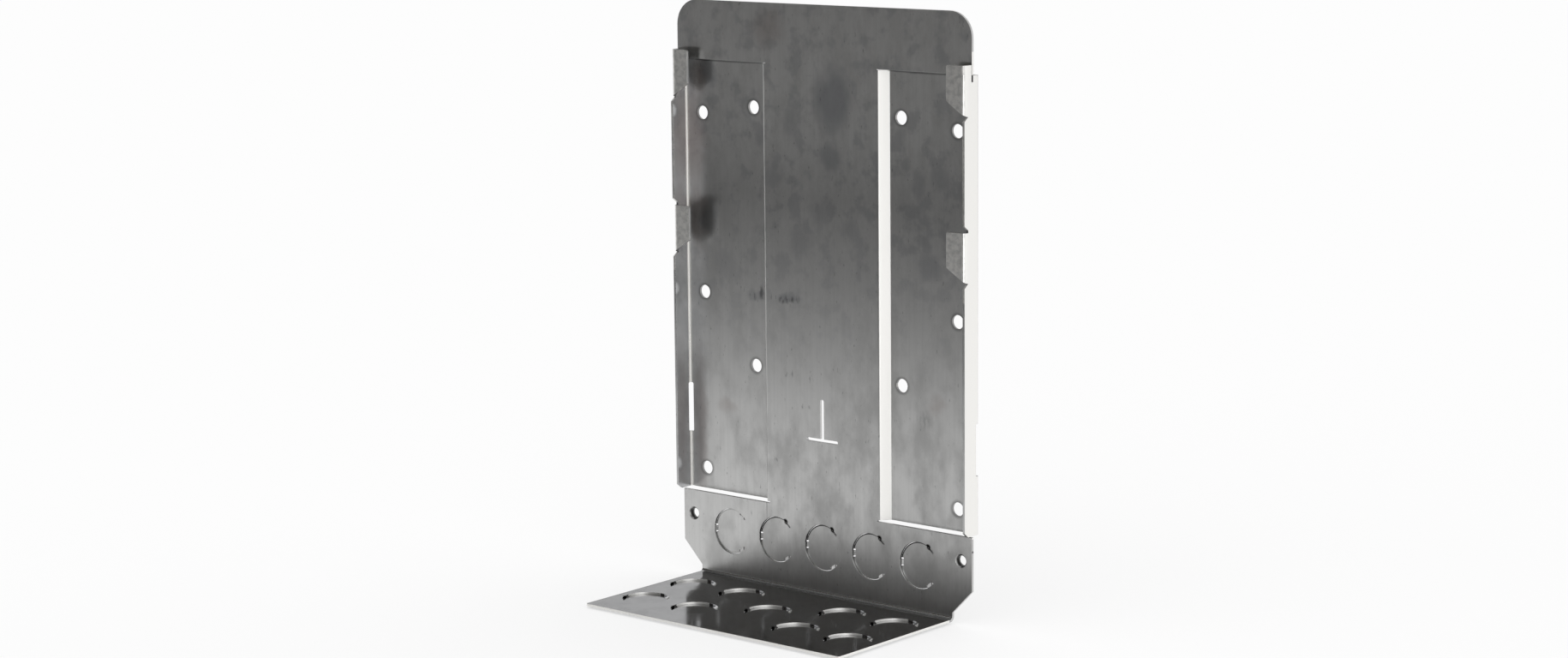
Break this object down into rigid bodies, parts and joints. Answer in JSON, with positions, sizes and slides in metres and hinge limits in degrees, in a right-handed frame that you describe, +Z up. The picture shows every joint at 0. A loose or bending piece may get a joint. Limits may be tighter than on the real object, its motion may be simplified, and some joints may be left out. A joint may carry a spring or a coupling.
{
  "type": "stamped metal wall bracket",
  "caption": "Folded sheet-steel wall bracket: tall back plate with set-back screw strips, edge lips that hold a side rail, and a foot tray with cable knockouts.",
  "frame": {"origin": "middle of the bottom of the bounding box, at the level of the pushed-down tray knockouts", "axes": "+X across the plate to its right seen from the front, +Y towards the wall, +Z up"},
  "size_m": [0.175, 0.0878, 0.2797],
  "materials": {
    "bracket": "bare cold-rolled sheet, fine mill grain"
  },
  "bodies": {
    "root": {"bracket": "bracket"}
  },
  "joints": []
}
